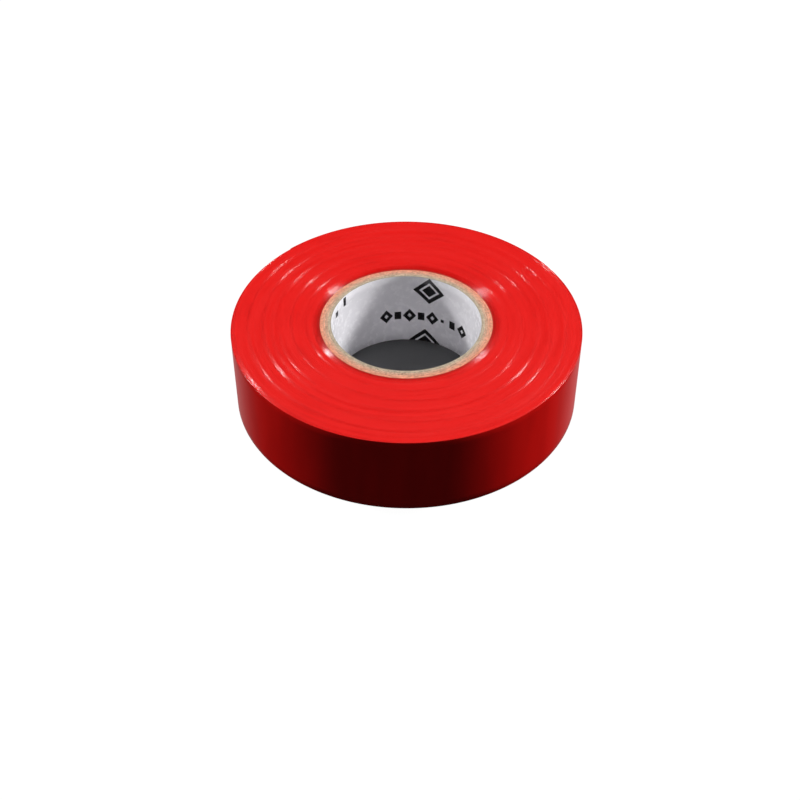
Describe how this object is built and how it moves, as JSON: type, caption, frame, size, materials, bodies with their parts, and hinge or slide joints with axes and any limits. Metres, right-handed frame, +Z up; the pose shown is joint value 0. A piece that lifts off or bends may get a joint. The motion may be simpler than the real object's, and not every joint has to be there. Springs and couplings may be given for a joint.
{
  "type": "electrical tape roll",
  "caption": "Roll of glossy electrical insulation tape wound on a lined paperboard core, with a short free end that peels off the roll.",
  "frame": {"origin": "centre of the roll's lower face, on the surface that the roll lies on", "axes": "+Z up along the core's axis; -Y towards the viewer, with the free end of the tape on the far side at 135 degrees from +X; the strip winds outwards counter-clockwise seen from +Z"},
  "size_m": [0.0778, 0.0779, 0.0191],
  "materials": {
    "tape_film": "gloss",
    "tape_edges": "satin",
    "kraft_board": "matte",
    "liner_paper": "gloss"
  },
  "bodies": {
    "roll": {"core_liner": "liner_paper", "core_ply_1": "kraft_board", "core_ply_2": "kraft_board", "core_ply_3": "kraft_board", "core_ply_4": "kraft_board", "tape_pack": "tape_edges", "tape_outer_turn": "tape_film"},
    "tail_1": {"tape_tail_1": "tape_film"},
    "tail_2": {"tape_tail_2": "tape_film"},
    "tail_3": {"tape_tail_3": "tape_film"},
    "tail_4": {"tape_tail_4": "tape_film"},
    "tail_5": {"tape_tail_5": "tape_film"},
    "tail_6": {"tape_tail_6": "tape_film"}
  },
  "joints": [
    {"name": "peel_1", "type": "hinge", "parent": "roll", "child": "tail_1", "pos_m": [0.0061, 0.0385, 0.00953], "axis": [0, 0, -1], "range_deg": [0, 30]},
    {"name": "peel_2", "type": "hinge", "parent": "tail_1", "child": "tail_2", "pos_m": [0, 0.03899, 0.00953], "axis": [0, 0, -1], "range_deg": [0, 30]},
    {"name": "peel_3", "type": "hinge", "parent": "tail_2", "child": "tail_3", "pos_m": [-0.0061, 0.03851, 0.00953], "axis": [0, 0, -1], "range_deg": [0, 30]},
    {"name": "peel_4", "type": "hinge", "parent": "tail_3", "child": "tail_4", "pos_m": [-0.01205, 0.03709, 0.00953], "axis": [0, 0, -1], "range_deg": [0, 30]},
    {"name": "peel_5", "type": "hinge", "parent": "tail_4", "child": "tail_5", "pos_m": [-0.01771, 0.03475, 0.00953], "axis": [0, 0, -1], "range_deg": [0, 30]},
    {"name": "peel_6", "type": "hinge", "parent": "tail_5", "child": "tail_6", "pos_m": [-0.02293, 0.03156, 0.00953], "axis": [0, 0, -1], "range_deg": [0, 30]}
  ]
}
